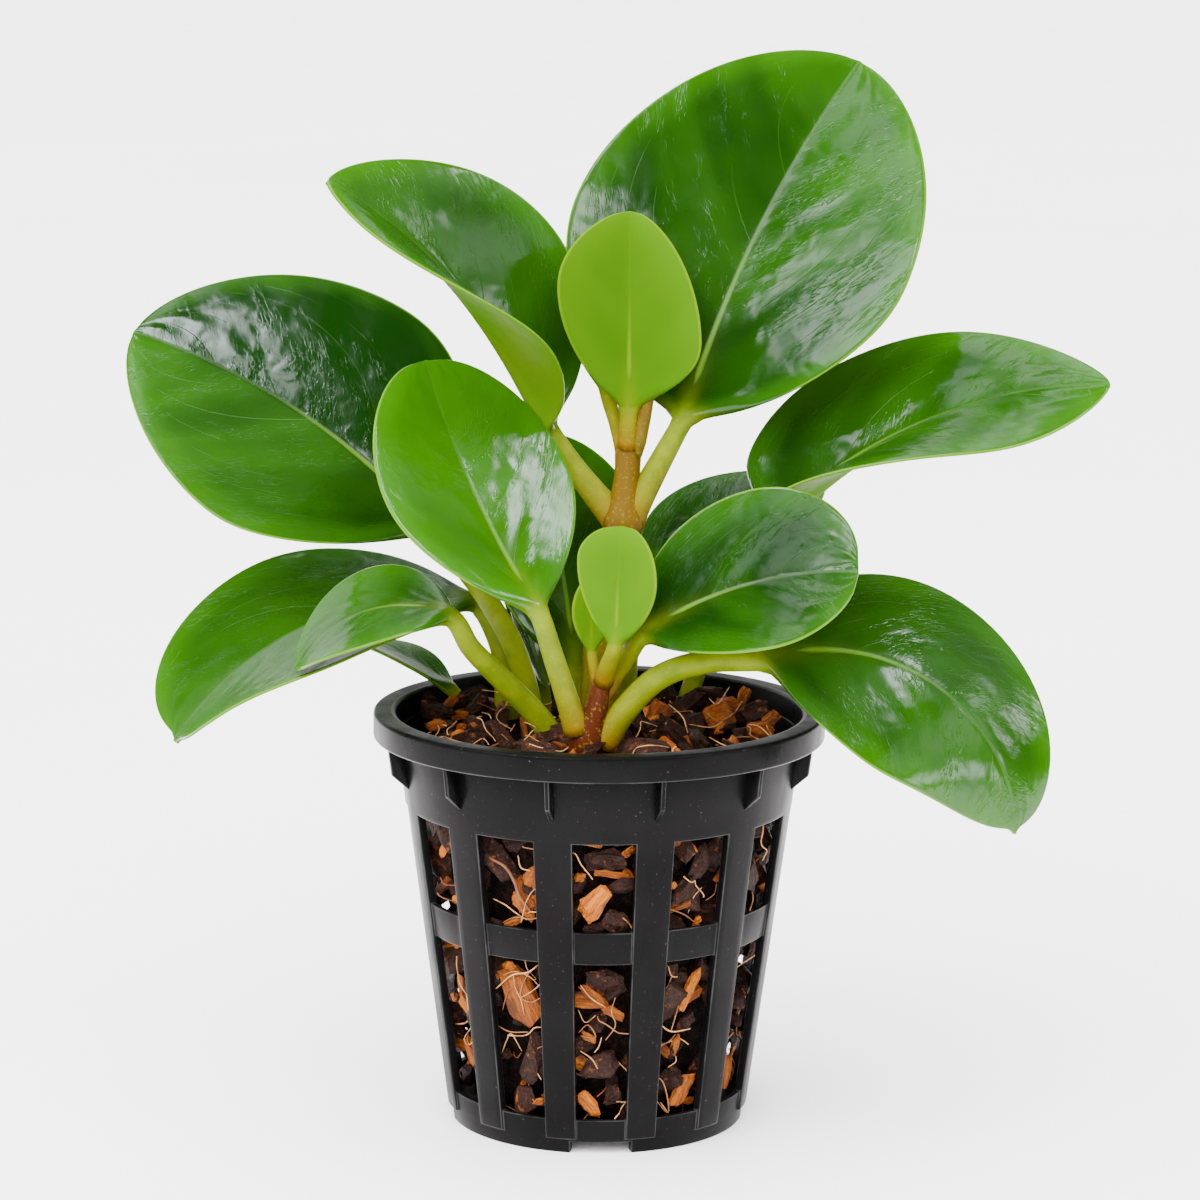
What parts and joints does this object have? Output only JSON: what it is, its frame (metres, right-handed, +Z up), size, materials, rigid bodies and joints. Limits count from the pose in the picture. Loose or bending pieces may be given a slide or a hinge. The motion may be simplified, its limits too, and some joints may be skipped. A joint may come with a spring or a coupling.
{
  "type": "potted peperomia",
  "caption": "Small potted peperomia: thick glossy rounded leaves on short stems, in a slotted black basket pot filled with bark chips.",
  "frame": {"origin": "on the pot's axis, at the surface that the pot stands on", "axes": "+Z up along the pot's axis; -Y is the front, the side the picture shows; +X is to the right of that view"},
  "size_m": [0.196, 0.0906, 0.2116],
  "materials": {
    "pot_plastic": "satin black moulded plastic",
    "bark": "rough bark and husk chips",
    "stem_green": "smooth fleshy stem, green to orange",
    "shoot_red": "smooth fleshy stem, reddish brown",
    "bud_olive": "folded young leaf, satin",
    "leaf_mature": "waxy, very glossy leaf",
    "leaf_young": "soft bright young leaf"
  },
  "bodies": {
    "root": {"net_pot": "pot_plastic", "potting_medium": "bark", "main_stem": "stem_green", "front_shoot": "shoot_red", "top_bud": "bud_olive", "leaf_top_right": "leaf_mature", "leaf_upper_left": "leaf_mature", "leaf_left_large": "leaf_mature", "leaf_front_left": "leaf_mature", "leaf_low_left": "leaf_mature", "leaf_low_left_front": "leaf_mature", "leaf_small_left": "leaf_mature", "leaf_front_right": "leaf_mature", "leaf_drooping_right": "leaf_mature", "leaf_right": "leaf_mature", "leaf_back_right": "leaf_mature", "leaf_back_upright": "leaf_mature", "leaf_back_left": "leaf_mature", "leaf_back_right_low": "leaf_mature", "leaf_back_centre": "leaf_mature", "leaf_young_top": "leaf_young", "leaf_young_behind": "leaf_young", "leaf_young_front": "leaf_young", "leaf_young_front_inner": "leaf_young"}
  },
  "joints": []
}
